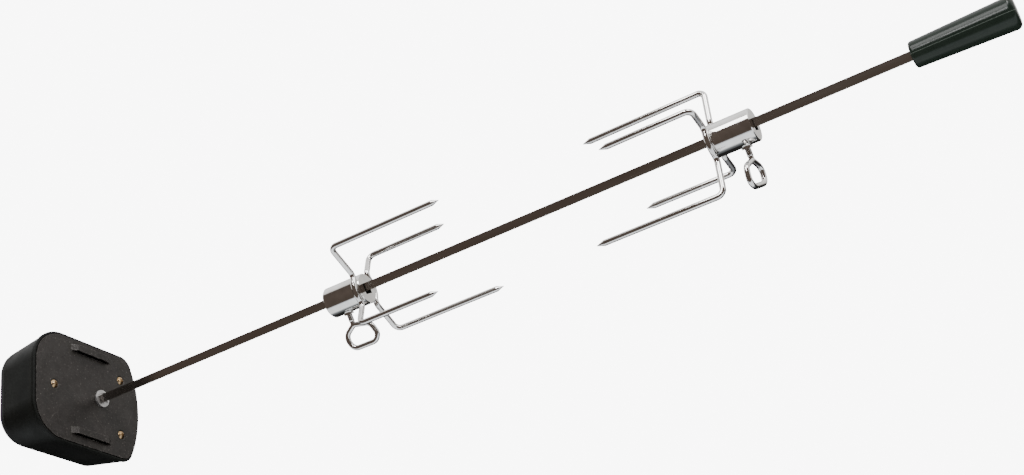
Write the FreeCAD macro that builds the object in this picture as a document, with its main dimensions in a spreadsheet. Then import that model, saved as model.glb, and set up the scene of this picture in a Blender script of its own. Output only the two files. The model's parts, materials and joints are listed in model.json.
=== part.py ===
import FreeCAD, Part
import math
import os
import Sketcher
from FreeCAD import Placement, Rotation, Vector

# Motor-driven rotisserie spit: a wedge-cased battery gear motor turns a square
# spit bar that carries two four-prong meat forks and a push-on handle.
# +X runs along the spit from the motor to the handle, +Z is up, and the origin
# is on the outer face of the motor's mounting plate, between its two bridges.

os.makedirs("parts", exist_ok=True)
doc = FreeCAD.newDocument("spit_roaster")

# ---------------------------------------------------------------- driving sizes (mm, deg)
SIZES = {
    # spit
    "bar_side": 8.0, "bar_roll": 28.0, "bar_start": -20.5, "bar_end": 945.0,
    "spit_y": 16.0, "spit_z": 2.0,
    # handle
    "grip_start": 900.0, "grip_end": 988.5, "grip_small": 11.8, "grip_large": 14.4,
    "grip_round": 5.0, "grip_nose": 2.6, "grip_bore": 8.1, "grip_depth": 46.0,
    # forks
    "hub_radius": 15.3, "hub_length": 43.0, "hub_bore": 11.1, "hub_play": 0.05,
    "hub_edge": 0.8, "wire_inset": 3.35, "wire_radius": 2.85, "arm_blend": 7.0,
    "bend_radius": 6.5, "tip_length": 7.5, "tip_radius": 0.3,
    "long_reach": 124.0, "short_reach": 89.5, "long_side": 33.0, "long_rise": 47.0,
    "short_side": 32.6, "short_rise": 30.5, "left_wires": 342.4, "right_wires": 717.7,
    # thumbscrews
    "screw_inset": 14.0, "screw_radius": 3.0, "screw_root": 2.55, "screw_pitch": 1.0,
    "screw_tip": 2.55, "screw_thread_end": 24.0, "screw_neck_end": 28.8,
    "screw_hole": 3.05, "screw_boss": 5.0, "screw_boss_top": 16.9, "loop_wire": 2.7,
    "right_screw_turn": 81.0,
    # mounting plate outline
    "plate_left": -75.4, "plate_right": 69.1, "plate_top": 58.6, "plate_bottom": -57.5,
    "plate_big_corner": 36.0, "plate_small_corner": 13.0, "plate_bulge": 120.0,
    "plate_thick": 1.5, "dimple_radius": 5.6, "dimple_depth": 0.5,
    # bracket bridges
    "bridge_high": 48.8, "bridge_low": -44.8, "bridge_width": 6.6, "bridge_length": 56.0,
    "bridge_flat": 42.0, "bridge_gap": 2.9, "bridge_clear": 0.5,
    # housing
    "case_front": -0.6, "case_back": -65.0, "case_rim": 3.0, "case_groove": 0.8, "case_band": 3.2, "case_step": 0.9,
    "case_ledge": 1.4, "case_draft": 9.1, "case_lean": -1.2, "case_lift": 2.5, "case_wall": 2.5, "case_back_wall": 3.0,
    "case_back_round": 14.0, "case_tight_corner": 4.0, "boss_radius": 4.5, "boss_hole": 1.85,
    # plate screws
    "head_radius": 4.5, "head_rise": 2.3, "shank_radius": 1.8, "shank_length": 15.0,
    # drive socket
    "socket_radius": 9.4, "socket_front": 1.2, "socket_step": -3.6, "journal_radius": 8.0,
    "socket_back": -23.2, "socket_lead": 11.4, "socket_lead_depth": 1.3,
    "socket_bore": 8.2, "socket_floor": -21.0,
    # gear train
    "mod_out": 1.0, "teeth_out": 48, "mod_mid": 0.8, "teeth_mid": 48,
    "mod_fast": 0.6, "teeth_fast": 50, "teeth_small": 12, "teeth_pinion": 10,
    "second_y": -13.0, "second_z": 9.76, "first_y": -25.0, "first_z": 30.55,
    "motor_y": -41.9, "motor_z": 24.39, "axle_radius": 2.0, "axle_bore": 2.05,
    # gear frame
    "frame_front": -20.0, "frame_thick": 1.5, "post_radius": 3.5,
    # motor
    "can_radius": 12.0, "can_length": 32.0, "can_wall": 1.0, "shaft_radius": 1.0,
    "shaft_bore": 1.06, "magnet_inner": 8.3, "armature_radius": 7.5,
    # battery bay
    "cell_radius": 16.5, "cell_length": 59.0, "cell_x": -41.8, "cell_base": -29.5,
    "cell_right": 22.0, "cell_left": -12.0, "bay_y": 5.0, "bay_z": 0.0,
    "door_width": 74.0, "door_height": 72.0, "door_thick": 1.6, "door_gap": 0.4,
    # switch
    "switch_y": -44.0, "switch_z": -22.0, "switch_travel": 6.0,
}

sheet = doc.addObject("Spreadsheet::Sheet", "Sizes")
for row, (alias, value) in enumerate(SIZES.items(), start=1):
    sheet.set("A%d" % row, alias)
    sheet.set("B%d" % row, repr(value))
    sheet.setAlias("B%d" % row, alias)
doc.recompute()


def size(alias):
    """The sheet's value of one driving size."""
    return float(sheet.get(alias))


def bind(obj, **pairs):
    """Tie an object's properties to the sheet by expression."""
    for prop, text in pairs.items():
        for alias in sorted(SIZES, key=len, reverse=True):
            text = text.replace("$" + alias + "$", "Sizes." + alias)
        obj.setExpression(prop, text)


def at(x=0.0, y=0.0, z=0.0, rotation=None):
    return Placement(Vector(x, y, z), rotation or Rotation())


ALONG_X = Rotation(Vector(0, 1, 0), 90)
SPIT_Y = size("spit_y")
SPIT_Z = size("spit_z")
ROLL = math.radians(size("bar_roll"))


def named(obj, label):
    obj.Label = label
    return obj


def rod_x(name, radius, x_low, x_high, y=0.0, z=0.0):
    """A cylinder along X between two stations. radius is an expression or a number."""
    rod = doc.addObject("Part::Cylinder", name)
    if isinstance(radius, str):
        bind(rod, Radius=radius)
    else:
        rod.Radius = radius
    rod.Height = x_high - x_low
    rod.Placement = at(x_low, y, z, ALONG_X)
    return rod


def block(name, low, high):
    """A box between two corners."""
    box = doc.addObject("Part::Box", name)
    box.Length, box.Width, box.Height = [b - a for a, b in zip(low, high)]
    box.Placement = at(*low)
    return box


def fuse(name, shapes):
    joined = doc.addObject("Part::MultiFuse", name)
    joined.Shapes = shapes
    joined.Refine = True
    return joined


def cut(name, base, tool):
    result = doc.addObject("Part::Cut", name)
    result.Base = base
    result.Tool = tool
    result.Refine = True
    return result


def fixed_shape(name, shape):
    """A shape worked out in code from the sheet's values."""
    feature = doc.addObject("Part::Feature", name)
    feature.Shape = shape
    return feature


# ---------------------------------------------------------------- sketches in the YZ plane
def new_body(name):
    body = doc.addObject("PartDesign::Body", name)
    return body


def plane_of(body, role):
    return next(f for f in body.Origin.OriginFeatures if f.Role == role)


def yz_sketch(body, name, x, geometry):
    """A sketch square to X at station x, holding closed loops of (y, z) geometry."""
    sketch = body.newObject("Sketcher::SketchObject", name)
    sketch.AttachmentSupport = [(plane_of(body, "YZ_Plane"), "")]
    sketch.MapMode = "FlatFace"
    sketch.AttachmentOffset = at(0, 0, x)
    sketch.addGeometry(geometry, False)
    return sketch


def segment(a, b):
    return Part.LineSegment(Vector(a[0], a[1], 0), Vector(b[0], b[1], 0))


def arc(centre, radius, start, end):
    circle = Part.Circle(Vector(centre[0], centre[1], 0), Vector(0, 0, 1), radius)
    return Part.ArcOfCircle(circle, start, end)


def ring(centre, radius):
    return Part.Circle(Vector(centre[0], centre[1], 0), Vector(0, 0, 1), radius)


def polygon(points):
    return [segment(p, points[(i + 1) % len(points)]) for i, p in enumerate(points)]


def rectangle(y, z, width, height):
    half_w, half_h = width / 2, height / 2
    corners = [(-half_w, -half_h), (half_w, -half_h), (half_w, half_h), (-half_w, half_h)]
    return polygon([(y + a, z + b) for a, b in corners])


def round_rectangle(y, z, width, height, r):
    half_w, half_h = width / 2 - r, height / 2 - r
    quarter = math.pi / 2
    parts = []
    centres = [(half_w, half_h), (-half_w, half_h), (-half_w, -half_h), (half_w, -half_h)]
    for i, (a, b) in enumerate(centres):
        parts.append(arc((y + a, z + b), r, i * quarter, (i + 1) * quarter))
    parts.append(segment((y + half_w, z + half_h + r), (y - half_w, z + half_h + r)))
    parts.append(segment((y - half_w - r, z + half_h), (y - half_w - r, z - half_h)))
    parts.append(segment((y - half_w, z - half_h - r), (y + half_w, z - half_h - r)))
    parts.append(segment((y + half_w + r, z - half_h), (y + half_w + r, z + half_h)))
    return parts


def plate_outline(offset, shift=0.0, lift=0.0):
    """The plate's rounded outline with a bulging right side, grown by offset, moved by shift and lift."""
    left, right = size("plate_left") + shift, size("plate_right") + shift
    top, bottom = size("plate_top") + lift, size("plate_bottom") + lift
    big, bulge = size("plate_big_corner"), size("plate_bulge")
    small = max(size("plate_small_corner"), size("case_tight_corner") - offset)
    middle = (top + bottom) / 2
    half = (top - bottom) / 2
    bulge_y = right - bulge
    small_z = half - small
    small_y = bulge_y + math.sqrt((bulge - small) ** 2 - small_z ** 2)
    lean = math.atan2(small_z, small_y - bulge_y)
    quarter = math.pi / 2
    big_y = left + big
    big_z = half - big
    r_big, r_small, r_bulge = big + offset, small + offset, bulge + offset
    return [
        arc((bulge_y, middle), r_bulge, -lean, lean),
        arc((small_y, middle + small_z), r_small, lean, quarter),
        segment((small_y, top + offset), (big_y, top + offset)),
        arc((big_y, middle + big_z), r_big, quarter, 2 * quarter),
        segment((left - offset, middle + big_z), (left - offset, middle - big_z)),
        arc((big_y, middle - big_z), r_big, 2 * quarter, 3 * quarter),
        segment((big_y, bottom - offset), (small_y, bottom - offset)),
        arc((small_y, middle - small_z), r_small, 3 * quarter, 4 * quarter - lean),
    ]


def pad(body, name, sketch, length, reverse=False):
    feature = body.newObject("PartDesign::Pad", name)
    feature.Profile = sketch
    if isinstance(length, str):
        bind(feature, Length=length)
    else:
        feature.Length = length
    feature.Reversed = reverse
    sketch.Visibility = False
    return feature


def pocket(body, name, sketch, length, reverse=False):
    """Removes material towards -X of the sketch, or towards +X when reversed."""
    feature = body.newObject("PartDesign::Pocket", name)
    feature.Profile = sketch
    if isinstance(length, str):
        bind(feature, Length=length)
    else:
        feature.Length = length
    feature.Reversed = reverse
    sketch.Visibility = False
    return feature


def loft(body, name, kind, sketches):
    """A ruled loft through a row of sketches."""
    feature = body.newObject("PartDesign::" + kind, name)
    feature.Profile = sketches[0]
    feature.Sections = sketches[1:]
    feature.Ruled = True
    for sketch in sketches:
        sketch.Visibility = False
    return feature


SCREW_SPOTS = [(-50.5, 0.0), (44.4, 31.5), (44.4, -31.5)]
POST_SPOTS = [(36.0, 24.0), (36.0, -20.0), (-37.0, 0.0), (2.0, 38.0)]
nodes = []


# ---------------------------------------------------------------- motor housing
def make_housing():
    body = new_body("motor_housing")
    front, back = size("case_front"), size("case_back")
    rim, draft, wall = size("case_rim"), size("case_draft"), size("case_wall")
    ledge, seat = size("case_ledge"), -size("plate_thick")
    inner_back = back + size("case_back_wall")
    step, band_back = size("case_step"), front - size("case_band")
    lips = [(front, step), (front - 0.9, 0.0), (band_back, 0.0), (band_back - 0.5, step), (band_back - 1.3, step)]
    sections = [yz_sketch(body, "case_lip_%d" % k, x, plate_outline(rim - drop))
                for k, (x, drop) in enumerate(lips)]
    round_r = size("case_back_round")
    for k in range(6):
        turn = math.radians(18.0 * k)
        x = back + round_r * (1 - math.sin(turn))
        share = (front - x) / (front - back)
        inset = step + draft * share + round_r * (1 - math.cos(turn))
        outline = plate_outline(rim - inset, size("case_lean") * share, size("case_lift") * share)
        sections.append(yz_sketch(body, "case_outer_%d" % k, x, outline))
    loft(body, "case_shell", "AdditiveLoft", sections)
    doc.recompute()
    turn = math.asin(1 - (inner_back - back) / round_r)
    hollow = []
    for k, (x, drop) in enumerate([(seat, 0.0), (back + round_r, 0.0),
                                   (inner_back, round_r * (1 - math.cos(turn)) + wall - rim + step - ledge)]):
        share = (front - x) / (front - back)
        outline = plate_outline(-ledge - draft * share - drop, size("case_lean") * share,
                                size("case_lift") * share)
        hollow.append(yz_sketch(body, "case_inner_%d" % k, x, outline))
    loft(body, "case_hollow", "SubtractiveLoft", hollow)
    recess = yz_sketch(body, "case_recess_line", front, plate_outline(size("case_groove")))
    pocket(body, "case_recess", recess, front - seat)
    bosses = yz_sketch(body, "boss_circles", seat, [ring(p, size("boss_radius")) for p in SCREW_SPOTS])
    pad(body, "case_bosses", bosses, seat - inner_back + 0.5, reverse=True)
    holes = yz_sketch(body, "boss_bores", seat, [ring(p, size("boss_hole")) for p in SCREW_SPOTS])
    pocket(body, "boss_holes", holes, 18.0)
    gap = size("door_gap")
    y, z = size("bay_y"), size("bay_z")
    rebate = yz_sketch(body, "door_rebate_line", back,
                       round_rectangle(y, z, size("door_width") + gap, size("door_height") + gap, 4.2))
    pocket(body, "door_rebate", rebate, "$door_thick$", reverse=True)
    mouth = yz_sketch(body, "bay_mouth_line", back,
                      round_rectangle(y, z, size("door_width") - 6, size("door_height") - 6, 2.0))
    pocket(body, "bay_mouth", mouth, 4.0, reverse=True)
    travel = size("switch_travel")
    slot = yz_sketch(body, "switch_slot_line", back,
                     rectangle(size("switch_y"), size("switch_z") + travel / 2, 5.0, 6.8 + travel))
    pocket(body, "switch_slot", slot, 4.0, reverse=True)
    return body


nodes.append(make_housing())


# ---------------------------------------------------------------- mounting plate with bridges
def bridge_profile(z_low, z_high):
    """The raised strap of one bridge: flat top, sloped ends, as thick as the plate."""
    thick, gap = size("plate_thick"), size("bridge_gap")
    half, flat = size("bridge_length") / 2, size("bridge_flat") / 2
    outer = [(-thick, -half), (0.0, -half), (gap + thick, -flat), (gap + thick, flat), (0.0, half),
             (-thick, half)]
    inner = [(-thick, half - 2.6), (gap, flat - 0.7), (gap, -flat + 0.7), (-thick, -half + 2.6)]
    points = [Vector(x, y, z_low) for x, y in outer + inner]
    face = Part.Face(Part.makePolygon(points + [points[0]]))
    return face.extrude(Vector(0, 0, z_high - z_low))


def make_plate():
    body = new_body("plate_blank")
    thick = size("plate_thick")
    line = yz_sketch(body, "plate_line", -thick, plate_outline(0.0))
    pad(body, "plate_sheet", line, "$plate_thick$")
    spots = [ring(p, size("shank_radius") + 0.3) for p in SCREW_SPOTS]
    spots.append(ring((SPIT_Y, SPIT_Z), size("socket_radius") + 0.8))
    holes = yz_sketch(body, "plate_hole_line", 0.0, spots)
    pocket(body, "plate_holes", holes, thick)
    half_w = size("bridge_width") / 2 + size("bridge_clear")
    windows = []
    for z in (size("bridge_high"), size("bridge_low")):
        windows += rectangle(0.0, z, size("bridge_length"), 2 * half_w)
    slots = yz_sketch(body, "bridge_window_line", 0.0, windows)
    pocket(body, "bridge_windows", slots, thick)
    dishes = []
    for i, (y, z) in enumerate(SCREW_SPOTS):
        dish = doc.addObject("Part::Cone", "dimple_%d" % i)
        bind(dish, Radius2="$dimple_radius$", Radius1="$head_radius$", Height="$dimple_depth$")
        dish.Placement = at(-size("dimple_depth"), y, z, ALONG_X)
        dishes.append(dish)
    dimpled = cut("plate_dimpled", body, fuse("plate_dimples", dishes))
    half = size("bridge_width") / 2
    straps = [fixed_shape("bridge_upper", bridge_profile(size("bridge_high") - half, size("bridge_high") + half)),
              fixed_shape("bridge_lower", bridge_profile(size("bridge_low") - half, size("bridge_low") + half))]
    return named(fuse("mounting_plate_solid", [dimpled] + straps), "mounting_plate")


nodes.append(make_plate())


# ---------------------------------------------------------------- plate screws
def make_plate_screws():
    screws = []
    head, rise = size("head_radius"), size("head_rise")
    base = -size("dimple_depth")
    dome = (head ** 2 + rise ** 2) / (2 * rise)
    for i, (y, z) in enumerate(SCREW_SPOTS):
        ball = doc.addObject("Part::Sphere", "screw_ball_%d" % i)
        ball.Radius = dome
        ball.Placement = at(base + rise - dome, y, z)
        puck = rod_x("screw_puck_%d" % i, "$head_radius$", base, base + rise, y, z)
        head_solid = doc.addObject("Part::MultiCommon", "screw_head_%d" % i)
        head_solid.Shapes = [ball, puck]
        shank = rod_x("screw_shank_%d" % i, "$shank_radius$", base - size("shank_length"), base + 0.3, y, z)
        whole = fuse("screw_whole_%d" % i, [head_solid, shank])
        turn = Rotation(Vector(1, 0, 0), 20 + 35 * i)
        cross = []
        for k, (wide, tall) in enumerate([(1.1, 4.6), (4.6, 1.1)]):
            bar = doc.addObject("Part::Box", "screw_slot_%d_%d" % (i, k))
            bar.Length, bar.Width, bar.Height = 2.4, wide, tall
            offset = turn.multVec(Vector(0, -wide / 2, -tall / 2))
            bar.Placement = Placement(Vector(base + rise - 1.3, y, z) + offset, turn)
            cross.append(bar)
        screws.append(cut("plate_screw_%d" % i, whole, fuse("screw_cross_%d" % i, cross)))
    group = doc.addObject("Part::Compound", "plate_screw_set")
    group.Links = screws
    return named(group, "plate_screws")


nodes.append(make_plate_screws())


# ---------------------------------------------------------------- gears
def gear_solid(module, teeth, x_low, x_high, y, z, tooth_angle):
    """A spur gear with one tooth centred on tooth_angle (degrees from +Y towards +Z)."""
    pitch = module * teeth / 2
    tip, root = pitch + 0.75 * module, pitch - 1.15 * module
    step = 2 * math.pi / teeth
    points = []
    for k in range(teeth):
        middle = math.radians(tooth_angle) + k * step
        for share, radius in ((-0.30, root), (-0.21, pitch), (-0.115, tip),
                              (0.115, tip), (0.21, pitch), (0.30, root)):
            a = middle + share * step
            points.append(Vector(x_low, y + radius * math.cos(a), z + radius * math.sin(a)))
    face = Part.Face(Part.makePolygon(points + [points[0]]))
    return face.extrude(Vector(x_high - x_low, 0, 0))


def bearing_angle(a, b):
    return math.degrees(math.atan2(b[1] - a[1], b[0] - a[0]))


SPIT = (SPIT_Y, SPIT_Z)
SECOND = (size("second_y"), size("second_z"))
FIRST = (size("first_y"), size("first_z"))
MOTOR = (size("motor_y"), size("motor_z"))
SMALL, FAST, PINION = int(size("teeth_small")), int(size("teeth_fast")), int(size("teeth_pinion"))


def gear_on(name, module, teeth, span, centre, mate, gap):
    """A gear whose tooth (or gap) points at its mate's axis."""
    angle = bearing_angle(centre, mate)
    if gap:
        angle += 180.0 / teeth
    return fixed_shape(name, gear_solid(module, teeth, span[0], span[1], centre[0], centre[1], angle))


def make_output_gear():
    blank = gear_on("output_teeth", size("mod_out"), int(size("teeth_out")), (-9.0, -4.0), SPIT, SECOND, False)
    hub = rod_x("output_hub", 9.5, -18.4, -4.0, *SPIT)
    bore = rod_x("output_bore", "$journal_radius$", -18.6, -3.8, *SPIT)
    return named(cut("output_gear_solid", fuse("output_blank", [blank, hub]), bore), "output_gear")


def make_second_gear():
    small = gear_on("second_small", size("mod_out"), SMALL, (-9.6, -3.4), SECOND, SPIT, True)
    large = gear_on("second_large", size("mod_mid"), int(size("teeth_mid")), (-14.0, -10.0), SECOND, FIRST, False)
    hub = rod_x("second_hub", 4.2, -19.8, -1.7, *SECOND)
    bore = rod_x("second_bore", "$axle_bore$", -20.0, -1.5, *SECOND)
    return named(cut("second_gear_solid", fuse("second_blank", [small, large, hub]), bore), "gear_second")


def make_first_gear():
    small = gear_on("first_small", size("mod_mid"), SMALL, (-14.2, -9.8), FIRST, SECOND, True)
    large = gear_on("first_large", size("mod_fast"), FAST, (-18.0, -14.7), FIRST, MOTOR, False)
    hub = rod_x("first_hub", 3.4, -19.8, -1.7, *FIRST)
    bore = rod_x("first_bore", "$axle_bore$", -20.0, -1.5, *FIRST)
    return named(cut("first_gear_solid", fuse("first_blank", [small, large, hub]), bore), "gear_first")


def make_pinion():
    teeth = gear_on("pinion_teeth", size("mod_fast"), PINION, (-18.4, -14.3), MOTOR, FIRST, True)
    bore = rod_x("pinion_bore", "$shaft_radius$", -18.6, -14.1, *MOTOR)
    return named(cut("pinion_solid", teeth, bore), "motor_pinion")


for make in (make_output_gear, make_second_gear, make_first_gear, make_pinion):
    nodes.append(make())


# ---------------------------------------------------------------- drive socket
def square_rod(name, side, x_low, x_high, y=SPIT_Y, z=SPIT_Z):
    """A square prism along X, rolled to the spit's roll angle."""
    prism = doc.addObject("Part::Box", name)
    if isinstance(side, str):
        bind(prism, Width=side, Height=side)
        half = size(side.strip("$")) / 2
    else:
        prism.Width, prism.Height = side, side
        half = side / 2
    prism.Length = x_high - x_low
    turn = Rotation(Vector(1, 0, 0), math.degrees(ROLL))
    corner = turn.multVec(Vector(0, -half, -half))
    prism.Placement = Placement(Vector(x_low, y, z) + corner, turn)
    return prism


def make_socket():
    collar = rod_x("socket_collar", "$socket_radius$", size("socket_step"), size("socket_front"), *SPIT)
    journal = rod_x("socket_journal", "$journal_radius$", size("socket_back"), size("socket_step") + 0.1, *SPIT)
    lead = square_rod("socket_lead_in", "$socket_lead$", size("socket_front") - size("socket_lead_depth"), 2.0)
    bore = square_rod("socket_square", "$socket_bore$", size("socket_floor"), 2.0)
    solid = cut("socket_solid", fuse("socket_blank", [collar, journal]), fuse("socket_hollow", [lead, bore]))
    return named(solid, "drive_socket")


def make_front_bush():
    ring_part = rod_x("front_bush_ring", 15.0, -3.4, -size("plate_thick"), *SPIT)
    hole = rod_x("front_bush_hole", size("socket_radius") + 0.05, -3.6, -1.0, *SPIT)
    return named(cut("front_bush_solid", ring_part, hole), "front_bush")


def make_rear_bush():
    flange = rod_x("rear_bush_flange", 10.5, size("frame_front"), -18.7, *SPIT)
    sleeve = rod_x("rear_bush_sleeve", 9.0, -23.0, -19.5, *SPIT)
    hole = rod_x("rear_bush_hole", size("journal_radius") + 0.05, -23.4, -18.0, *SPIT)
    return named(cut("rear_bush_solid", fuse("rear_bush_blank", [flange, sleeve]), hole), "rear_bush")


for make in (make_socket, make_front_bush, make_rear_bush):
    nodes.append(make())


# ---------------------------------------------------------------- gear frame, posts, axles
FRAME_LINE = [(-58, 40), (6, 43), (40, 28), (40, -24), (10, -27), (-41, -5), (-43, 8), (-58, 10)]


def make_frame():
    body = new_body("gear_frame")
    back = size("frame_front") - size("frame_thick")
    line = yz_sketch(body, "frame_line", back, polygon(FRAME_LINE))
    pad(body, "frame_sheet", line, "$frame_thick$")
    rings = [ring(SPIT, 9.0), ring(MOTOR, 3.0)]
    rings += [ring(SECOND, size("axle_radius")), ring(FIRST, size("axle_radius"))]
    rings += [ring(p, 1.5) for p in POST_SPOTS]
    rings += [ring((MOTOR[0], MOTOR[1] + side * 8.0), 1.3) for side in (1, -1)]
    holes = yz_sketch(body, "frame_hole_line", size("frame_front"), rings)
    pocket(body, "frame_holes", holes, size("frame_thick"))
    return body


def make_posts():
    posts = []
    for i, (y, z) in enumerate(POST_SPOTS):
        post = rod_x("post_%d" % i, "$post_radius$", size("frame_front"), -size("plate_thick"), y, z)
        bore = rod_x("post_bore_%d" % i, 1.25, size("frame_front"), size("frame_front") + 9, y, z)
        posts.append(cut("post_solid_%d" % i, post, bore))
    group = doc.addObject("Part::Compound", "post_set")
    group.Links = posts
    return named(group, "frame_posts")


def make_small_screws(label, spots, x_seat, head_radius, head_height, shank_radius, shank_length):
    """Pan-head screws whose heads face -X, with a driving slot."""
    screws = []
    for i, (y, z) in enumerate(spots):
        head = rod_x("%s_head_%d" % (label, i), head_radius, x_seat - head_height, x_seat, y, z)
        shank = rod_x("%s_shank_%d" % (label, i), shank_radius, x_seat - 0.2, x_seat + shank_length, y, z)
        slot = block("%s_slot_%d" % (label, i), (x_seat - head_height - 0.1, y - 0.4, z - head_radius),
                     (x_seat - head_height + 0.8, y + 0.4, z + head_radius))
        screws.append(cut("%s_%d" % (label, i), fuse("%s_blank_%d" % (label, i), [head, shank]), slot))
    group = doc.addObject("Part::Compound", label + "_set")
    group.Links = screws
    return named(group, label)


def make_axles():
    axles = []
    for i, spot in enumerate((SECOND, FIRST)):
        axles.append(rod_x("axle_%d" % i, "$axle_radius$", size("frame_front") - 2.1, -size("plate_thick"), *spot))
    group = doc.addObject("Part::Compound", "axle_set")
    group.Links = axles
    return named(group, "gear_axles")


FRAME_BACK = size("frame_front") - size("frame_thick")
nodes.append(make_frame())
nodes.append(make_posts())
nodes.append(make_small_screws("frame_screws", POST_SPOTS, FRAME_BACK, 2.6, 1.8, 1.2, 7.0))
nodes.append(make_axles())


# ---------------------------------------------------------------- electric motor
def make_can():
    front, back = FRAME_BACK, FRAME_BACK - size("can_length")
    shell = rod_x("can_outside", "$can_radius$", back, front, *MOTOR)
    hollow = rod_x("can_inside", size("can_radius") - size("can_wall"), back - 0.1, front - 1.2, *MOTOR)
    nose = rod_x("can_nose_hole", 1.06, front - 1.4, front + 0.2, *MOTOR)
    return named(cut("can_solid", shell, fuse("can_hollow", [hollow, nose])), "motor_can")


def make_magnets():
    x_back = FRAME_BACK - 24.0
    outer = rod_x("magnet_outside", size("can_radius") - size("can_wall"), x_back, x_back + 18.0, *MOTOR)
    inner = rod_x("magnet_inside", "$magnet_inner$", x_back - 0.1, x_back + 18.1, *MOTOR)
    gap = block("magnet_gap", (x_back - 0.2, MOTOR[0] - 2.0, MOTOR[1] - 12.0),
                (x_back + 18.2, MOTOR[0] + 2.0, MOTOR[1] + 12.0))
    return named(cut("magnet_solid", outer, fuse("magnet_cut", [inner, gap])), "motor_magnets")


def make_endcap():
    front = FRAME_BACK - size("can_length")
    cap = rod_x("endcap_disc", size("can_radius") - 0.6, front - 2.4, front, *MOTOR)
    boss = rod_x("endcap_boss", 3.5, front - 4.4, front - 2.0, *MOTOR)
    hole = rod_x("endcap_hole", "$shaft_bore$", front - 5.0, front + 0.2, *MOTOR)
    tabs = [block("endcap_tab_%d" % i, (front - 5.2, MOTOR[0] + side * 6.0 - 1.2, MOTOR[1] - 8.4),
                  (front - 2.2, MOTOR[0] + side * 6.0 + 1.2, MOTOR[1] - 7.6)) for i, side in enumerate((1, -1))]
    blank = fuse("endcap_blank", [cap, boss] + tabs)
    return named(cut("endcap_solid", blank, hole), "motor_endcap")


def make_shaft():
    back = FRAME_BACK - size("can_length") - 4.2
    return named(rod_x("motor_shaft_rod", "$shaft_radius$", back, -14.0, *MOTOR), "motor_shaft")


def make_armature():
    x_back = FRAME_BACK - 23.0
    core = rod_x("armature_core", "$armature_radius$", x_back, x_back + 16.0, *MOTOR)
    drum = rod_x("armature_drum", 3.2, x_back - 6.0, x_back + 0.1, *MOTOR)
    cuts = [rod_x("armature_bore", "$shaft_radius$", x_back - 6.1, x_back + 16.1, *MOTOR)]
    for k in range(3):
        a = math.radians(30 + 120 * k)
        slot = rod_x("armature_slot_%d" % k, 1.6, x_back - 0.1, x_back + 16.1,
                     MOTOR[0] + 6.6 * math.cos(a), MOTOR[1] + 6.6 * math.sin(a))
        cuts.append(slot)
    return named(cut("armature_solid", fuse("armature_blank", [core, drum]), fuse("armature_cuts", cuts)),
                 "motor_armature")


for make in (make_can, make_magnets, make_endcap, make_shaft, make_armature):
    nodes.append(make())


# ---------------------------------------------------------------- battery bay
def rod_z(name, radius, x, y, z_low, z_high):
    rod = doc.addObject("Part::Cylinder", name)
    if isinstance(radius, str):
        bind(rod, Radius=radius)
    else:
        rod.Radius = radius
    rod.Height = z_high - z_low
    rod.Placement = at(x, y, z_low)
    return rod


def make_tray():
    floor = block("tray_floor", (-25.2, -29.2, -37.5), (-24.0, 39.4, 37.5))
    top = block("tray_top", (-62.0, -29.2, 36.0), (-24.0, 39.4, 37.5))
    bottom = block("tray_bottom", (-62.0, -29.2, -37.5), (-24.0, 39.4, -36.0))
    rib = block("tray_rib", (-31.0, 4.6, -36.5), (-24.5, 5.4, 36.5))
    return named(fuse("tray_solid", [floor, top, bottom, rib]), "battery_tray")


def make_cells():
    x, base, top = size("cell_x"), size("cell_base"), size("cell_base") + size("cell_length")
    right = [rod_z("cell_right_body", "$cell_radius$", x, size("cell_right"), base, top),
             rod_z("cell_right_nub", 4.8, x, size("cell_right"), top - 0.1, top + 1.6)]
    left = [rod_z("cell_left_body", "$cell_radius$", x, size("cell_left"), base, top),
            rod_z("cell_left_nub", 4.8, x, size("cell_left"), base - 1.6, base + 0.1)]
    group = doc.addObject("Part::Compound", "cell_set")
    group.Links = [fuse("cell_right_solid", right), fuse("cell_left_solid", left)]
    return named(group, "battery_cells")


def leaf(name, y_middle, z_wall, z_touch):
    """A bent leaf contact between the bay's end wall and a cell."""
    x = size("cell_x")
    turn = 1.0 if z_touch > z_wall else -1.0
    thick = 0.5 * turn
    outer = [(x + 8, z_wall), (x - 8, z_wall), (x - 8, z_wall + thick), (x + 6.2, z_wall + thick),
             (x, z_touch - thick), (x - 3, z_touch - 2.4 * thick), (x - 3, z_touch - 1.2 * thick),
             (x, z_touch), (x + 8, z_wall + 1.6 * thick)]
    points = [Vector(a, y_middle - 5, b) for a, b in outer]
    face = Part.Face(Part.makePolygon(points + [points[0]]))
    return fixed_shape(name, face.extrude(Vector(0, 10, 0)))


def make_contacts():
    top_cell = size("cell_base") + size("cell_length")
    left = leaf("contact_top_left", size("cell_left"), 36.0, top_cell)
    strip_low = block("contact_link", (size("cell_x") - 5, size("cell_left") + 4.8, 35.5),
                      (size("cell_x") + 5, size("cell_right") + 5, 36.0))
    pad_high = block("contact_pad", (size("cell_x") - 4, size("cell_right") - 4, top_cell + 1.6),
                     (size("cell_x") + 4, size("cell_right") + 4, 35.6))
    right = leaf("contact_low_right", size("cell_right"), -36.0, size("cell_base"))
    pad_low = block("contact_low_left", (size("cell_x") - 4, size("cell_left") - 4, -36.0),
                    (size("cell_x") + 4, size("cell_left") + 4, size("cell_base") - 1.6))
    group = doc.addObject("Part::Compound", "contact_set")
    group.Links = [fuse("contact_bridge", [left, strip_low, pad_high]), right, pad_low]
    return named(group, "battery_contacts")


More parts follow.
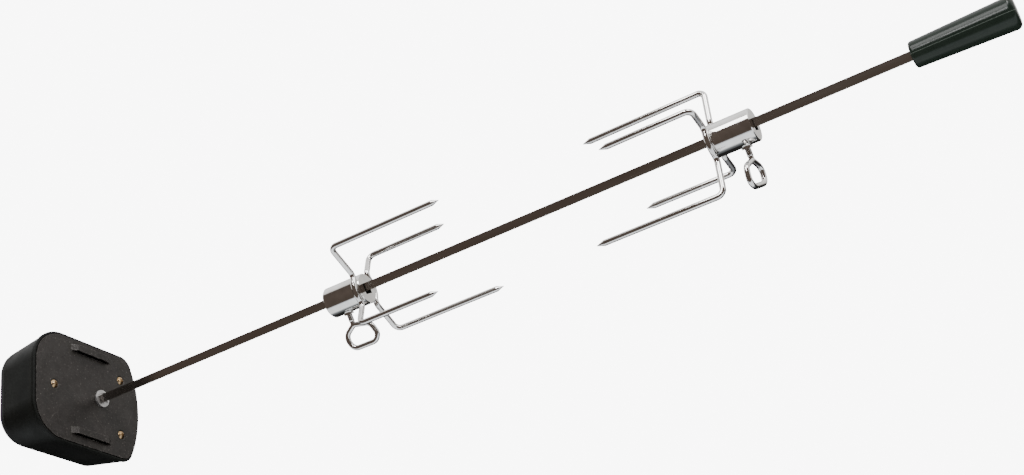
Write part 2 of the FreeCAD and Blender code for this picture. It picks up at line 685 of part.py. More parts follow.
def make_door():
    body = new_body("battery_door")
    back, thick = size("case_back"), size("door_thick")
    y, z = size("bay_y"), size("bay_z")
    panel = yz_sketch(body, "door_line", back,
                      round_rectangle(y, z, size("door_width"), size("door_height"), 4.0))
    pad(body, "door_panel", panel, "$door_thick$")
    skirt = yz_sketch(body, "door_skirt_line", back + thick,
                      round_rectangle(y, z, size("door_width") - 6.4, size("door_height") - 6.4, 2.0)
                      + round_rectangle(y, z, size("door_width") - 10.0, size("door_height") - 10.0, 1.5))
    pad(body, "door_skirt", skirt, 2.8)
    ribs = []
    for k in range(5):
        ribs += rectangle(y, z - 26 + 3.2 * k, 26.0, 1.4)
    grip = yz_sketch(body, "door_rib_line", back + 0.1, ribs)
    pad(body, "door_ribs", grip, 1.0, reverse=True)
    return body


for make in (make_tray, make_cells, make_contacts, make_door):
    nodes.append(make())


# ---------------------------------------------------------------- switch and leads
def make_switch_knob():
    y, z, back = size("switch_y"), size("switch_z"), size("case_back")
    cap = block("knob_cap", (back - 3.2, y - 4.5, z - 4.5), (back - 0.3, y + 4.5, z + 4.5))
    stem = block("knob_stem", (back - 0.4, y - 2.3, z - 3.2), (back + 2.7, y + 2.3, z + 3.2))
    grooves = [block("knob_groove_%d" % k, (back - 3.4, y - 4.6, z - 3.2 + 2.6 * k),
                     (back - 2.6, y + 4.6, z - 2.0 + 2.6 * k)) for k in range(3)]
    return named(cut("knob_solid", fuse("knob_blank", [cap, stem]), fuse("knob_grooves", grooves)), "switch_knob")


def make_switch_body():
    y, z, inner = size("switch_y"), size("switch_z") + size("switch_travel") / 2, size("case_back") + 3.0
    case = block("switch_case", (inner, y - 5.0, z - 10.0), (inner + 4.2, y + 5.0, z + 10.0))
    pins = [block("switch_pin_%d" % k, (inner + 4.1, y - 1.0, z - 5.0 + 5.0 * k - 0.4),
                  (inner + 7.5, y + 1.9, z - 5.0 + 5.0 * k + 0.4)) for k in range(3)]
    return named(fuse("switch_solid", [case] + pins), "switch_body")


def tube_along(name, points, radius, bend):
    """A round wire through points, with an arc of radius bend at each inner point."""
    edges = []
    start = Vector(*points[0])
    for i in range(1, len(points) - 1):
        corner = Vector(*points[i])
        back_dir = (start - corner).normalize()
        ahead = (Vector(*points[i + 1]) - corner).normalize()
        turn = math.pi - back_dir.getAngle(ahead)
        reach = bend * math.tan(turn / 2)
        a, b = corner + back_dir * reach, corner + ahead * reach
        middle_dir = (back_dir + ahead).normalize()
        middle = corner + middle_dir * (bend / math.cos(turn / 2) - bend)
        edges.append(Part.LineSegment(start, a).toShape())
        edges.append(Part.Arc(a, middle, b).toShape())
        start = b
    edges.append(Part.LineSegment(start, Vector(*points[-1])).toShape())
    spine = Part.Wire(edges)
    first = edges[0]
    way = first.tangentAt(first.FirstParameter)
    section = Part.Wire([Part.makeCircle(radius, Vector(*points[0]), way)])
    return fixed_shape(name, spine.makePipeShell([section], True, False))


def make_leads():
    """Insulated leads from the motor, through the switch, to the cells."""
    y, z = size("switch_y"), size("switch_z") + size("switch_travel") / 2
    x = size("case_back") + 8.2
    tab_y, tab_z = MOTOR[0], MOTOR[1] - 8.4
    red = tube_along("lead_red", [(x, tab_y - 6.0, tab_z), (x, tab_y - 6.0, 8.0), (x, y + 2.6, 0.0),
                                  (x, y + 2.6, z + 1.0)], 0.7, 4.0)
    black = tube_along("lead_black", [(x, tab_y + 6.0, tab_z), (x, tab_y + 6.0, -39.2), (x, -6.0, -39.2)], 0.7, 5.0)
    blue = tube_along("lead_blue", [(x, y + 2.6, z - 5.0), (x, y + 2.6, -41.2), (x, 28.0, -41.2)], 0.7, 4.0)
    group = doc.addObject("Part::Compound", "lead_set")
    group.Links = [red, black, blue]
    return named(group, "motor_leads")


for make in (make_switch_knob, make_switch_body, make_leads):
    nodes.append(make())


# ---------------------------------------------------------------- spit bar and handle
nodes.append(named(square_rod("spit_bar_prism", "$bar_side$", size("bar_start"), size("bar_end")), "spit_bar"))


def make_handle():
    """A tapered grip with rounded ends and a square push-on bore."""
    low, high = size("grip_start"), size("grip_end")
    small, large, r = size("grip_small"), size("grip_large"), size("grip_round")
    slope = math.atan2(large - small, high - low)
    nose = size("grip_nose")
    near = [Vector(low, 0, 0), Vector(low, 0, small - nose), Vector(low + nose, 0, small)]
    cut_in = nose * (1 - math.cos(math.pi / 4))
    near_arc = Part.Arc(near[1], Vector(low + cut_in, 0, small - cut_in), near[2])
    corner = Vector(high - r + r * math.sin(-slope), 0, large - r + r * math.cos(slope))
    far_middle = Vector(high - r + r * math.cos(math.pi / 4), 0, large - r + r * math.sin(math.pi / 4))
    far_arc = Part.Arc(corner, far_middle, Vector(high, 0, large - r))
    line = [Part.LineSegment(near[0], near[1]), near_arc,
            Part.LineSegment(near[2], corner), far_arc,
            Part.LineSegment(Vector(high, 0, large - r), Vector(high, 0, 0)),
            Part.LineSegment(Vector(high, 0, 0), near[0])]
    outline = fixed_shape("grip_outline", Part.Wire([e.toShape() for e in line]))
    turned = doc.addObject("Part::Revolution", "grip_turned")
    turned.Source = outline
    turned.Axis = Vector(1, 0, 0)
    turned.Base = Vector(0, 0, 0)
    turned.Angle = 360
    turned.Solid = True
    turned.Placement = at(0, SPIT_Y, SPIT_Z)
    bore = square_rod("grip_square", "$grip_bore$", low - 1.0, low + size("grip_depth"))
    return named(cut("grip_solid", turned, bore), "spit_handle")


nodes.append(make_handle())

# ---------------------------------------------------------------- meat forks
# A fork is drawn with X along its prongs, Y towards its far prongs and Z across
# them. The wires cross the hub at X = 0.
HUB_FRONT = size("wire_inset")
HUB_BACK = HUB_FRONT - size("hub_length")
SCREW_X = HUB_BACK + size("screw_inset")


def polar(radius, angle, x=0.0):
    return Vector(x, radius * math.cos(angle), radius * math.sin(angle))


def prong_edges(side, rise, reach):
    """Tip-side prong, its bend and its radial arm, from the prong end inwards."""
    angle = math.atan2(rise, side)
    radius = math.hypot(side, rise)
    bend = size("bend_radius")
    blend = size("arm_blend")
    hug = size("hub_radius") + size("wire_radius")
    swing = math.asin(blend / (hug + blend))
    foot = (hug + blend) * math.cos(swing)
    end = polar(radius, angle, reach - size("tip_length"))
    top = polar(radius, angle, bend)
    turn = polar(radius - bend * (1 - math.sin(math.pi / 4)), angle, bend * (1 - math.cos(math.pi / 4)))
    arm_top = polar(radius - bend, angle)
    arm_foot = polar(foot, angle)
    edges = [Part.LineSegment(end, top), Part.Arc(top, turn, arm_top), Part.LineSegment(arm_top, arm_foot)]
    return edges, angle, swing, arm_foot, end


def blend_arc(angle, swing, direction, arm_foot):
    """The reverse bend from an arm onto the hub's skin, and the point where it lands."""
    blend = size("arm_blend")
    hug = size("hub_radius") + size("wire_radius")
    middle_angle = angle + direction * swing
    centre = polar(hug + blend, middle_angle)
    landing = polar(hug, middle_angle)
    halfway = ((arm_foot + landing) * 0.5 - centre).normalize() * blend + centre
    return Part.Arc(arm_foot, halfway, landing), landing, middle_angle


def make_fork_wire(name, flip, placement):
    """One bent wire: a long prong, an arm round half the hub and a short prong."""
    long_edges, long_angle, swing, long_foot, long_end = prong_edges(
        -size("long_side"), size("long_rise"), size("long_reach"))
    short_edges, short_angle, swing, short_foot, short_end = prong_edges(
        -size("short_side"), -size("short_rise"), size("short_reach"))
    short_angle += 2 * math.pi if short_angle < 0 else 0.0
    long_blend, start, start_angle = blend_arc(long_angle, swing, 1, long_foot)
    short_blend, finish, finish_angle = blend_arc(short_angle, swing, -1, short_foot)
    hug = size("hub_radius") + size("wire_radius")
    around = Part.Arc(start, polar(hug, (start_angle + finish_angle) / 2), finish)
    chain = long_edges + [long_blend, around, short_blend] + short_edges[::-1]
    path = fixed_shape(name + "_path", Part.Wire(Part.__sortEdges__([e.toShape() for e in chain])))
    section = doc.addObject("Part::Circle", name + "_section")
    bind(section, Radius="$wire_radius$")
    section.Placement = Placement(long_end, ALONG_X)
    pipe = doc.addObject("Part::Sweep", name + "_pipe")
    pipe.Sections = [section]
    pipe.Spine = (path, ["Edge%d" % (i + 1) for i in range(len(chain))])
    pipe.Solid = True
    pipe.Frenet = False
    tips = []
    for k, end in enumerate((long_end, short_end)):
        tip = doc.addObject("Part::Cone", "%s_tip_%d" % (name, k))
        bind(tip, Radius1="$wire_radius$", Radius2="$tip_radius$", Height="$tip_length$")
        tip.Placement = Placement(end, ALONG_X)
        tips.append(tip)
    wire = fuse(name + "_solid", [pipe] + tips)
    spin = Placement(Vector(), Rotation(Vector(1, 0, 0), 180 if flip else 0))
    wire.Placement = placement.multiply(spin)
    return named(wire, name)


def make_hub(name, placement):
    """A round hub with a square bore, and a tapped boss for the thumbscrew."""
    tube = rod_x(name + "_tube", "$hub_radius$", HUB_BACK, HUB_FRONT)
    edges = doc.addObject("Part::Chamfer", name + "_edges")
    doc.recompute()
    edges.Base = tube
    rims = [i for i, e in enumerate(tube.Shape.Edges, 1) if len(e.Vertexes) == 1]
    edges.Edges = [(i, size("hub_edge"), size("hub_edge")) for i in rims]
    boss = doc.addObject("Part::Cylinder", name + "_boss")
    bind(boss, Radius="$screw_boss$")
    boss.Height = size("screw_boss_top") - 10.0
    boss.Placement = at(SCREW_X, 0, -10.0, Rotation(Vector(1, 0, 0), 180))
    bore = doc.addObject("Part::Box", name + "_bore")
    bind(bore, Width="$hub_bore$", Height="$hub_bore$")
    bore.Length = size("hub_length") + 2
    bore.Placement = at(HUB_BACK - 1, -size("hub_bore") / 2, -size("hub_bore") / 2)
    hole = doc.addObject("Part::Cylinder", name + "_hole")
    bind(hole, Radius="$screw_hole$")
    hole.Height = 20.0
    hole.Placement = at(SCREW_X, 0, 0, Rotation(Vector(1, 0, 0), 180))
    hub = cut(name + "_solid", fuse(name + "_blank", [edges, boss]), fuse(name + "_holes", [bore, hole]))
    hub.Placement = placement
    return named(hub, name)


# corners of the finger loop: distance along X, distance out from the hub's axis, bend radius
LOOP = [(-13.0, 36.4, 9.0), (-8.4, 50.2, 8.0), (18.0, 50.4, 7.5), (22.0, 43.5, 6.5), (18.2, 31.6, 8.5),
        (0.2, 27.8, 6.0)]


def loop_edges():
    """The finger loop's closed centre line: straight runs joined by arcs."""
    corners = [Vector(a, 0, -b) for a, b, bend in LOOP]
    count = len(corners)
    edges = []
    first = start = (corners[-1] + corners[0]) * 0.5
    for i, corner in enumerate(corners):
        back_dir = (corners[i - 1] - corner).normalize()
        ahead = (corners[(i + 1) % count] - corner).normalize()
        turn = math.pi - back_dir.getAngle(ahead)
        bend = LOOP[i][2]
        reach = bend * math.tan(turn / 2)
        a, b = corner + back_dir * reach, corner + ahead * reach
        middle = corner + (back_dir + ahead).normalize() * (bend / math.cos(turn / 2) - bend)
        edges.append(Part.LineSegment(start, a).toShape())
        edges.append(Part.Arc(a, middle, b).toShape())
        start = b
    edges.append(Part.LineSegment(start, first).toShape())
    return edges, first, (corners[0] - first).normalize()


def make_thumbscrew(name, turn_deg, placement):
    """A threaded shank with its end bent into a closed finger loop."""
    crest, root, pitch = size("screw_radius"), size("screw_root"), size("screw_pitch")
    station = size("screw_tip")
    outline = [(0.0, station), (root - 0.5, station), (root, station + 0.5)]
    station += 1.0
    while station + pitch < size("screw_thread_end"):
        outline += [(root, station), (crest, station + 0.35 * pitch), (crest, station + 0.55 * pitch)]
        station += pitch
    outline += [(root, size("screw_thread_end")), (root, size("screw_neck_end")), (0.0, size("screw_neck_end"))]
    points = [Vector(a, 0, -b) for a, b in outline]
    profile = fixed_shape(name + "_profile", Part.makePolygon(points + [points[0]]))
    shank = doc.addObject("Part::Revolution", name + "_shank")
    shank.Source = profile
    shank.Axis = Vector(0, 0, 1)
    shank.Angle = 360
    shank.Solid = True
    edges, first, way = loop_edges()
    path = fixed_shape(name + "_path", Part.Wire(edges))
    section = doc.addObject("Part::Circle", name + "_section")
    bind(section, Radius="$loop_wire$")
    section.Placement = Placement(first, Rotation(Vector(0, 0, 1), way))
    pipe = doc.addObject("Part::Sweep", name + "_pipe")
    pipe.Sections = [section]
    pipe.Spine = (path, ["Edge%d" % (i + 1) for i in range(len(edges))])
    pipe.Solid = True
    pipe.Frenet = False
    screw = fuse(name + "_solid", [shank, pipe])
    spin = Placement(Vector(SCREW_X, 0, 0), Rotation(Vector(0, 0, 1), turn_deg))
    screw.Placement = placement.multiply(spin)
    return named(screw, name)


def fork_placement(wires_x, backwards):
    """Where a fork stands on the spit: the thumbscrew draws the bore's far wall to the bar."""
    roll = Rotation(Vector(1, 0, 0), math.degrees(ROLL))
    drawn = (size("hub_bore") - size("bar_side")) / 2 - size("hub_play")
    down = roll.multVec(Vector(0, 0, -drawn))
    turn = roll
    if backwards:
        turn = roll.multiply(Rotation(Vector(0, 0, 1), 180))
    return Placement(Vector(wires_x, SPIT_Y, SPIT_Z) + down, turn)


for side, wires, backwards, screw_turn in (("left", "left_wires", False, 0.0),
                                           ("right", "right_wires", True, size("right_screw_turn"))):
    stand = fork_placement(size(wires), backwards)
    nodes.append(make_hub("fork_hub_" + side, stand))
    nodes.append(make_fork_wire("fork_near_wire_" + side, backwards, stand))
    nodes.append(make_fork_wire("fork_far_wire_" + side, not backwards, stand))
    nodes.append(make_thumbscrew("thumbscrew_" + side, screw_turn, stand))

# ---------------------------------------------------------------- check and export
doc.recompute()
for obj in doc.Objects:
    if "Invalid" in obj.State or "Error" in obj.State:
        raise RuntimeError("%s did not compute" % obj.Label)
for node in nodes:
    shape = node.Shape
    if shape.isNull() or not shape.isValid() or not shape.Solids:
        raise RuntimeError("%s has no valid solid" % node.Label)
    shape.exportStep("parts/%s.step" % node.Label)
    print("%-24s %2d solid %10.1f mm3" % (node.Label, len(shape.Solids), shape.Volume))
print("nodes", len(nodes))
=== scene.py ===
import json
import math

import bpy
from mathutils import Matrix, Vector

# Looks for a rotisserie spit roaster: a battery gear motor in a black wedge case, a square
# spit bar with two chromed wire forks and their thumbscrews, and a glossy tapered handle.
# Metres, in the part's own frame: +X along the spit, +Z up.

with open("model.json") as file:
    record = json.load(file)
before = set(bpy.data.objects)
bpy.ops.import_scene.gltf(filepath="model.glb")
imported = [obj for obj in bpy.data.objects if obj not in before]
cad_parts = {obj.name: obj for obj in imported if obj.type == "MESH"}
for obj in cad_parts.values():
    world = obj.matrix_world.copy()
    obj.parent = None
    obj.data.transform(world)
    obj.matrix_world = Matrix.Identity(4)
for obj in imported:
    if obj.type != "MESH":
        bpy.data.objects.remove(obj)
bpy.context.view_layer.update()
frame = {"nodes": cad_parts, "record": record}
nodes = frame["nodes"]


# ---------------------------------------------------------------- camera
CAMERA_AT = Vector((1.04867, -1.06960, -0.66981))
LOOK = Vector((-0.39078, 0.78671, 0.47789)).normalized()
RIGHT = Vector((0.84874, 0.50890, -0.14373)).normalized()
UP = RIGHT.cross(LOOK).normalized()
LENS_MM = 52.63
SENSOR_MM = 36.0


def make_camera():
    data = bpy.data.cameras.new("camera")
    data.lens = LENS_MM
    data.sensor_width = SENSOR_MM
    data.clip_start = 0.02
    data.clip_end = 60.0
    cam = bpy.data.objects.new("camera", data)
    turn = Matrix((RIGHT, UP, -LOOK)).transposed().to_4x4()
    cam.matrix_world = Matrix.Translation(CAMERA_AT) @ turn
    bpy.context.scene.collection.objects.link(cam)
    bpy.context.scene.camera = cam


make_camera()


# ---------------------------------------------------------------- material kit
# Noise stays mostly between these two values, so tones and roughness run from one to the other.
NOISE_LOW = 0.3
NOISE_HIGH = 0.7

# Sockets of a Mix node that mixes colours.
MIX_FIRST = 6
MIX_SECOND = 7
MIX_RESULT = 2


def set_stops(band, stops):
    """Gives a colour ramp its stops, each (place, (r, g, b))."""
    while len(band.elements) < len(stops):
        band.elements.new(0.5)
    for element, (place, colour) in zip(band.elements, stops):
        element.position = place
        element.color = (*colour, 1.0)


class Shade:
    """A small builder for one node material around a Principled shader."""

    def __init__(self, name):
        self.mat = bpy.data.materials.new(name)
        self.mat.use_nodes = True
        self.tree = self.mat.node_tree
        self.main = self.tree.nodes["Principled BSDF"]
        self.coords = self.tree.nodes.new("ShaderNodeTexCoord")
        self.height = None

    def link(self, a, b):
        self.tree.links.new(a, b)

    def constants(self, **values):
        """Shader settings that are the same all over the surface."""
        for key, value in values.items():
            self.main.inputs[key.replace("_", " ")].default_value = value

    def stretched(self, scale):
        mapping = self.tree.nodes.new("ShaderNodeMapping")
        mapping.inputs["Scale"].default_value = scale
        self.link(self.coords.outputs["Object"], mapping.inputs["Vector"])
        return mapping.outputs["Vector"]

    def noise(self, size, detail=3.0, stretch=(1, 1, 1), rough=0.55):
        """Noise with features about size metres across."""
        node = self.tree.nodes.new("ShaderNodeTexNoise")
        node.inputs["Scale"].default_value = 1.0 / size
        node.inputs["Detail"].default_value = detail
        node.inputs["Roughness"].default_value = rough
        self.link(self.stretched(stretch), node.inputs["Vector"])
        return node.outputs["Fac"]

    def cells(self, size):
        node = self.tree.nodes.new("ShaderNodeTexVoronoi")
        node.inputs["Scale"].default_value = 1.0 / size
        self.link(self.coords.outputs["Object"], node.inputs["Vector"])
        return node.outputs["Distance"]

    def scratches(self, size, width):
        """Fine broken lines wandering over the surface, 1 on a line and 0 beside it."""
        node = self.tree.nodes.new("ShaderNodeTexVoronoi")
        node.feature = "DISTANCE_TO_EDGE"
        node.inputs["Scale"].default_value = 1.0 / size
        bent = self.tree.nodes.new("ShaderNodeTexNoise")
        bent.inputs["Scale"].default_value = 0.6 / size
        self.link(self.coords.outputs["Object"], bent.inputs["Vector"])
        pushed = self.tree.nodes.new("ShaderNodeVectorMath")
        pushed.operation = "MULTIPLY_ADD"
        pushed.inputs[1].default_value = (size, size, size)
        self.link(bent.outputs["Color"], pushed.inputs[0])
        self.link(self.coords.outputs["Object"], pushed.inputs[2])
        self.link(pushed.outputs["Vector"], node.inputs["Vector"])
        line = self.rescale(node.outputs["Distance"], 0.3 * width / size, width / size, 1.0, 0.0)
        broken = self.rescale(self.noise(size * 0.7, 2), 0.50, 0.62, 0.0, 1.0)
        return self.times(line, broken)

    def times(self, a, b):
        node = self.tree.nodes.new("ShaderNodeMath")
        node.operation = "MULTIPLY"
        self.link(a, node.inputs[0])
        self.link(b, node.inputs[1])
        return node.outputs["Value"]

    def rescale(self, value, low_in, high_in, low, high):
        node = self.tree.nodes.new("ShaderNodeMapRange")
        self.link(value, node.inputs["Value"])
        node.inputs["From Min"].default_value = low_in
        node.inputs["From Max"].default_value = high_in
        node.inputs["To Min"].default_value = low
        node.inputs["To Max"].default_value = high
        return node.outputs["Result"]

    def vary(self, noise, low, high):
        """A setting that follows noise from low to high."""
        return self.rescale(noise, NOISE_LOW, NOISE_HIGH, low, high)

    def ramp(self, value, *stops):
        """Colour by value. stops are (place, (r, g, b))."""
        node = self.tree.nodes.new("ShaderNodeValToRGB")
        self.link(value, node.inputs["Fac"])
        set_stops(node.color_ramp, stops)
        return node.outputs["Color"]

    def two_tone(self, noise, low, high):
        """Colour that follows noise from low to high."""
        return self.ramp(noise, (NOISE_LOW, low), (NOISE_HIGH, high))

    def mix(self, fac, a, b):
        node = self.tree.nodes.new("ShaderNodeMix")
        node.data_type = "RGBA"
        self.link(fac, node.inputs["Factor"])
        for socket, value in ((node.inputs[MIX_FIRST], a), (node.inputs[MIX_SECOND], b)):
            if isinstance(value, tuple):
                socket.default_value = (*value, 1.0)
            else:
                self.link(value, socket)
        return node.outputs[MIX_RESULT]

    def colour(self, value):
        self.link(value, self.main.inputs["Base Color"])

    def roughness(self, value):
        self.link(value, self.main.inputs["Roughness"])

    def metal(self, value):
        self.link(value, self.main.inputs["Metallic"])

    def bump(self, value, depth, strength=1.0):
        """Raises the surface by value, depth metres high. Calls stack."""
        node = self.tree.nodes.new("ShaderNodeBump")
        node.inputs["Strength"].default_value = strength
        node.inputs["Distance"].default_value = depth
        self.link(value, node.inputs["Height"])
        if self.height is not None:
            self.link(self.height, node.inputs["Normal"])
        self.height = node.outputs["Normal"]
        self.link(self.height, self.main.inputs["Normal"])


def worn_edges(shade, base, bare, radius=0.0006, reach=0.35):
    """Mixes in a lighter tone where the surface turns sharply, broken up by noise."""
    bevel = shade.tree.nodes.new("ShaderNodeBevel")
    bevel.samples = 4
    bevel.inputs["Radius"].default_value = radius
    plain = shade.tree.nodes.new("ShaderNodeNewGeometry")
    dot = shade.tree.nodes.new("ShaderNodeVectorMath")
    dot.operation = "DOT_PRODUCT"
    shade.link(bevel.outputs["Normal"], dot.inputs[0])
    shade.link(plain.outputs["Normal"], dot.inputs[1])
    flat = 0.995
    sharp = 0.8
    edge = shade.rescale(dot.outputs["Value"], flat, sharp, 0.0, reach)
    breakup = shade.rescale(shade.noise(0.004), 0.40, 0.62, 0.0, 1.0)
    return shade.mix(shade.times(edge, breakup), base, bare)


# ---------------------------------------------------------------- materials
def case_plastic():
    s = Shade("case_plastic")
    s.constants(IOR=1.48, Specular_IOR_Level=0.16)
    tone = s.two_tone(s.noise(0.05, 4), (0.0035, 0.0040, 0.0033), (0.0065, 0.0070, 0.0060))
    s.colour(worn_edges(s, tone, (0.05, 0.053, 0.05), 0.0008, 0.3))
    s.roughness(s.vary(s.noise(0.02, 5), 0.46, 0.60))
    s.bump(s.noise(0.0011, 2), 0.00006, 0.55)
    s.bump(s.cells(0.0007), 0.00004, 0.3)
    return s.mat


def plate_steel():
    s = Shade("plate_steel")
    s.constants(IOR=1.5, Coat_Weight=0.12, Coat_Roughness=0.35)
    tone = s.two_tone(s.noise(0.03, 5), (0.017, 0.0145, 0.013), (0.031, 0.026, 0.0235))
    fleck = s.rescale(s.noise(0.0009, 2), 0.55, 0.70, 0.0, 0.5)
    tone = s.mix(fleck, tone, (0.085, 0.076, 0.070))
    tone = s.mix(s.rescale(s.noise(0.0022, 2), 0.64, 0.72, 0.0, 0.7), tone, (0.16, 0.145, 0.135))
    tone = s.mix(s.scratches(0.045, 0.00022), tone, (0.085, 0.078, 0.072))
    s.colour(worn_edges(s, tone, (0.34, 0.32, 0.30), 0.0007, 0.7))
    s.metal(s.vary(s.noise(0.01, 3), 0.45, 0.65))
    s.roughness(s.vary(s.noise(0.006, 4), 0.40, 0.56))
    s.bump(s.noise(0.0011, 3), 0.00007, 0.6)
    s.bump(s.noise(0.02, 2), 0.0002, 0.25)
    return s.mat


def screw_brass():
    s = Shade("screw_brass")
    s.constants(Metallic=1.0)
    dull = (0.18, 0.11, 0.055)
    yellow = (0.40, 0.27, 0.14)
    pale = (0.62, 0.48, 0.33)
    s.colour(s.ramp(s.noise(0.004, 4), (0.25, dull), (0.5, yellow), (0.8, pale)))
    s.roughness(s.vary(s.noise(0.0015, 3), 0.22, 0.42))
    s.bump(s.noise(0.0008, 3), 0.00003, 0.5)
    return s.mat


def chrome(name, rough_low, rough_high, tint=(0.80, 0.79, 0.78), shade_tint=(0.62, 0.60, 0.58)):
    s = Shade(name)
    s.constants(Metallic=1.0)
    s.colour(s.ramp(s.noise(0.012, 4), (0.25, shade_tint), (0.7, tint)))
    s.roughness(s.vary(s.noise(0.005, 4), rough_low, rough_high))
    s.bump(s.noise(0.010, 2), 0.00003, 0.15)
    return s.mat


def spit_steel():
    s = Shade("spit_steel")
    s.constants(Metallic=1.0)
    drawn = s.noise(0.02, 4, (0.06, 1, 1))
    tone = s.ramp(drawn, (0.25, (0.46, 0.43, 0.40)), (0.75, (0.62, 0.59, 0.56)))
    s.colour(worn_edges(s, tone, (0.75, 0.73, 0.70), 0.0004, 0.6))
    s.roughness(s.vary(s.noise(0.008, 3, (0.1, 1, 1)), 0.16, 0.28))
    s.bump(s.noise(0.0016, 2, (0.05, 1, 1)), 0.00001, 0.15)
    return s.mat


# A point near the grip's middle, on the spit's centre line, and the direction square to the plane
# that its mould parts at, where the seam ridge runs with a painted highlight line along it.
GRIP_MIDDLE = Vector((0.94, 0.016, 0.002))
SEAM_AND_HIGHLIGHT_ACROSS = Vector((0.0, 0.39, -0.92))


def seam_ridge_and_painted_highlight(shade):
    """The mould's parting line where a plane along the grip's centre line meets its skin: a raised
    seam with a painted highlight along it.
    """
    across = shade.tree.nodes.new("ShaderNodeVectorMath")
    across.operation = "DOT_PRODUCT"
    across.inputs[1].default_value = SEAM_AND_HIGHLIGHT_ACROSS
    shade.link(shade.coords.outputs["Object"], across.inputs[0])
    offset = shade.tree.nodes.new("ShaderNodeMath")
    offset.operation = "SUBTRACT"
    offset.inputs[1].default_value = SEAM_AND_HIGHLIGHT_ACROSS.dot(GRIP_MIDDLE)
    shade.link(across.outputs["Value"], offset.inputs[0])
    away = shade.tree.nodes.new("ShaderNodeMath")
    away.operation = "ABSOLUTE"
    shade.link(offset.outputs["Value"], away.inputs[0])
    full_width = 0.00008
    faded_width = 0.00035
    return shade.rescale(away.outputs["Value"], full_width, faded_width, 0.8, 0.0)


def grip_plastic():
    s = Shade("grip_plastic")
    s.constants(IOR=1.5, Specular_IOR_Level=0.20)
    tone = s.two_tone(s.noise(0.03, 3), (0.009, 0.015, 0.011), (0.014, 0.021, 0.016))
    seam_and_highlight = seam_ridge_and_painted_highlight(s)
    # The seam line is painted lighter than the plastic: a painted highlight along the ridge that
    # the bump raises.
    s.colour(s.mix(seam_and_highlight, tone, (0.10, 0.12, 0.105)))
    s.bump(seam_and_highlight, 0.00012, 0.5)
    s.roughness(s.vary(s.noise(0.01, 4), 0.12, 0.22))
    s.bump(s.noise(0.009, 2), 0.00012, 0.3)
    s.bump(s.noise(0.0012, 2), 0.00002, 0.3)
    return s.mat


def socket_metal():
    s = Shade("socket_metal")
    s.constants(Metallic=0.85)
    tone = s.two_tone(s.noise(0.004, 5), (0.40, 0.40, 0.40), (0.62, 0.61, 0.60))
    s.colour(worn_edges(s, tone, (0.8, 0.8, 0.79), 0.0004, 0.6))
    s.roughness(s.vary(s.noise(0.002, 4), 0.32, 0.50))
    s.bump(s.noise(0.0007, 3), 0.00004, 0.6)
    return s.mat


def gear_plastic():
    s = Shade("gear_plastic")
    s.constants(IOR=1.48, Subsurface_Weight=0.08)
    s.colour(s.two_tone(s.noise(0.02, 3), (0.68, 0.67, 0.60), (0.80, 0.79, 0.73)))
    s.roughness(s.vary(s.noise(0.01, 4), 0.35, 0.5))
    s.bump(s.noise(0.001, 2), 0.00002, 0.4)
    return s.mat


def dark_moulding(name, low, high, rough):
    s = Shade(name)
    s.constants(IOR=1.48)
    s.colour(s.two_tone(s.noise(0.02, 3), low, high))
    s.roughness(s.vary(s.noise(0.008, 4), rough, rough + 0.12))
    s.bump(s.noise(0.0009, 2), 0.00004, 0.45)
    return s.mat


def plain_metal(name, low, high, rough):
    s = Shade(name)
    s.constants(Metallic=1.0)
    s.colour(s.two_tone(s.noise(0.01, 4, (0.2, 1, 1)), low, high))
    s.roughness(s.vary(s.noise(0.004, 3), rough, rough + 0.14))
    s.bump(s.noise(0.0008, 3, (0.2, 1, 1)), 0.00003, 0.5)
    return s.mat


LOOKS = {
    "case_plastic": case_plastic(),
    "plate_steel": plate_steel(),
    "screw_brass": screw_brass(),
    "chrome_wire": chrome("chrome_wire", 0.05, 0.12),
    "chrome_hub": chrome("chrome_hub", 0.05, 0.13),
    "spit_steel": spit_steel(),
    "grip_plastic": grip_plastic(),
    "socket_metal": socket_metal(),
    "gear_plastic": gear_plastic(),
    "bush_plastic": dark_moulding("bush_plastic", (0.04, 0.04, 0.043), (0.07, 0.07, 0.074), 0.4),
    "inner_steel": plain_metal("inner_steel", (0.42, 0.42, 0.43), (0.62, 0.62, 0.62), 0.25),
    "magnet_ferrite": dark_moulding("magnet_ferrite", (0.03, 0.03, 0.032), (0.07, 0.07, 0.07), 0.6),
    "cell_jacket": dark_moulding("cell_jacket", (0.03, 0.06, 0.13), (0.05, 0.09, 0.18), 0.22),
    "contact_metal": plain_metal("contact_metal", (0.6, 0.6, 0.56), (0.78, 0.78, 0.74), 0.2),
    "lead_sleeve": dark_moulding("lead_sleeve", (0.22, 0.02, 0.012), (0.34, 0.035, 0.02), 0.3),
}


def dress_nodes():
    slot_of = {p["node"]: p["material_slot"] for p in frame["record"]["subparts"]}
    for name, obj in nodes.items():
        look = LOOKS[slot_of[name]]
        if not obj.material_slots:
            obj.data.materials.append(look)
        for slot in obj.material_slots:
            slot.material = look


dress_nodes()


# ---------------------------------------------------------------- floor and light
FLOOR_Z = -0.95
FLOOR_HALF = 14.0


def make_floor():
    mesh = bpy.data.meshes.new("floor")
    ways = ((-1, -1), (1, -1), (1, 1), (-1, 1))
    corners = [(x * FLOOR_HALF, y * FLOOR_HALF, FLOOR_Z) for x, y in ways]
    mesh.from_pydata(corners, [], [(0, 1, 2, 3)])
    floor = bpy.data.objects.new("floor", mesh)
    bpy.context.scene.collection.objects.link(floor)
    floor.visible_glossy = False
    s = Shade("floor_paint")
    s.colour(s.two_tone(s.noise(0.8, 2), (0.80, 0.80, 0.80), (0.84, 0.84, 0.84)))
    s.roughness(s.vary(s.noise(0.3, 2), 0.6, 0.7))
    mesh.materials.append(s.mat)


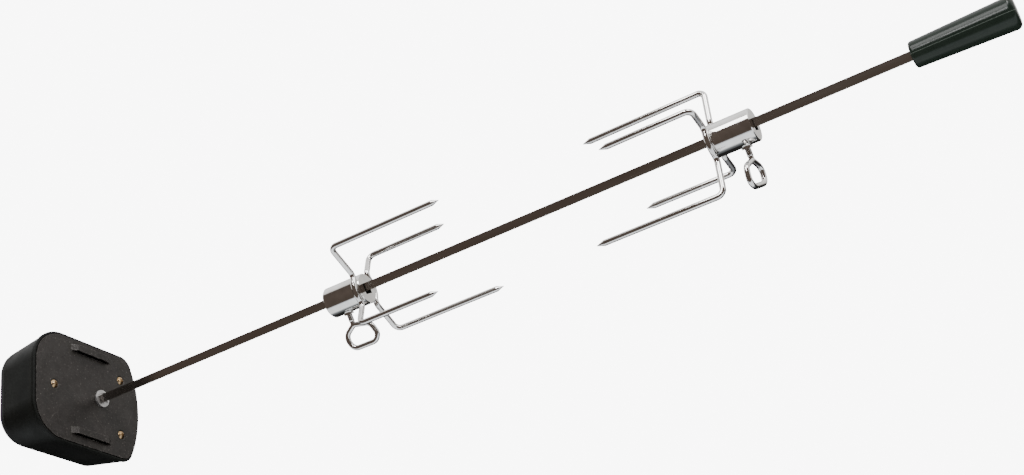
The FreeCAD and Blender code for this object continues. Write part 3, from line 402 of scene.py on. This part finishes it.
def panel_light(name, place, aim, wide, tall, power):
    """A soft rectangular light at place, facing aim."""
    data = bpy.data.lights.new(name, "AREA")
    data.shape = "RECTANGLE"
    data.size = wide
    data.size_y = tall
    data.energy = power
    light = bpy.data.objects.new(name, data)
    turn = (aim - place).to_track_quat("-Z", "Y")
    light.matrix_world = Matrix.Translation(place) @ turn.to_matrix().to_4x4()
    bpy.context.scene.collection.objects.link(light)


def light_all():
    """A key light above the spit on the camera's left, and two small panels for highlights."""
    spit_middle = Vector((0.48, 0.0, 0.0))
    plate_middle = Vector((0.0, 0.0, 0.02))
    key_place = spit_middle + RIGHT * -1.3 + UP * 2.2 - LOOK * 0.9
    panel_light("key", key_place, spit_middle, 1.2, 1.2, 40.0)
    panel_light("grip_panel", Vector((0.80, -1.16, 0.33)), GRIP_MIDDLE, 0.26, 0.22, 3.0)
    panel_light("plate_panel", Vector((1.10, -0.36, 0.52)), plate_middle, 0.30, 0.30, 3.0)


# What lies round the spit, by the direction's angle from +Y towards +Z, in degrees: white above,
# warm and dark towards -Y, a white strip below and dark towards +Y.
WARM_DARK = (0.070, 0.055, 0.046)
WARM_EDGE = (0.060, 0.047, 0.039)
ROOM = [
    (-180, WARM_DARK),
    (-125, WARM_EDGE),
    (-115, (0.90, 0.95, 1.0)),
    (-76, (0.95, 0.98, 1.0)),
    (-62, (0.16, 0.17, 0.18)),
    (-40, (0.012, 0.012, 0.012)),
    (14, (0.020, 0.019, 0.018)),
    (36, (0.66, 0.65, 0.63)),
    (90, (1.0, 1.0, 1.0)),
    (122, (0.80, 0.79, 0.78)),
    (131, WARM_EDGE),
    (180, WARM_DARK),
]
ROOM_STRENGTH = 1.7
BACKDROP_STRENGTH = 8.5


def make_world():
    """A white backdrop for the camera, and a room of light and dark sides that lights the spit."""
    world = bpy.data.worlds.new("studio")
    world.use_nodes = True
    tree = world.node_tree
    way = tree.nodes.new("ShaderNodeTexCoord")
    parts = tree.nodes.new("ShaderNodeSeparateXYZ")
    tree.links.new(way.outputs["Generated"], parts.inputs["Vector"])
    angle = tree.nodes.new("ShaderNodeMath")
    angle.operation = "ARCTAN2"
    tree.links.new(parts.outputs["Z"], angle.inputs[0])
    tree.links.new(parts.outputs["Y"], angle.inputs[1])
    share = tree.nodes.new("ShaderNodeMapRange")
    share.inputs["From Min"].default_value = -math.pi
    share.inputs["From Max"].default_value = math.pi
    tree.links.new(angle.outputs["Value"], share.inputs["Value"])
    ramp = tree.nodes.new("ShaderNodeValToRGB")
    set_stops(ramp.color_ramp, [((degrees + 180) / 360, colour) for degrees, colour in ROOM])
    tree.links.new(share.outputs["Result"], ramp.inputs["Fac"])
    room = tree.nodes["Background"]
    room.inputs["Strength"].default_value = ROOM_STRENGTH
    tree.links.new(ramp.outputs["Color"], room.inputs["Color"])
    backdrop = tree.nodes.new("ShaderNodeBackground")
    backdrop.inputs["Color"].default_value = (1.0, 1.0, 1.0, 1.0)
    backdrop.inputs["Strength"].default_value = BACKDROP_STRENGTH
    path = tree.nodes.new("ShaderNodeLightPath")
    choose = tree.nodes.new("ShaderNodeMixShader")
    tree.links.new(path.outputs["Is Camera Ray"], choose.inputs["Fac"])
    tree.links.new(room.outputs["Background"], choose.inputs[1])
    tree.links.new(backdrop.outputs["Background"], choose.inputs[2])
    tree.links.new(choose.outputs["Shader"], tree.nodes["World Output"].inputs["Surface"])
    bpy.context.scene.world = world


make_floor()
make_world()
light_all()
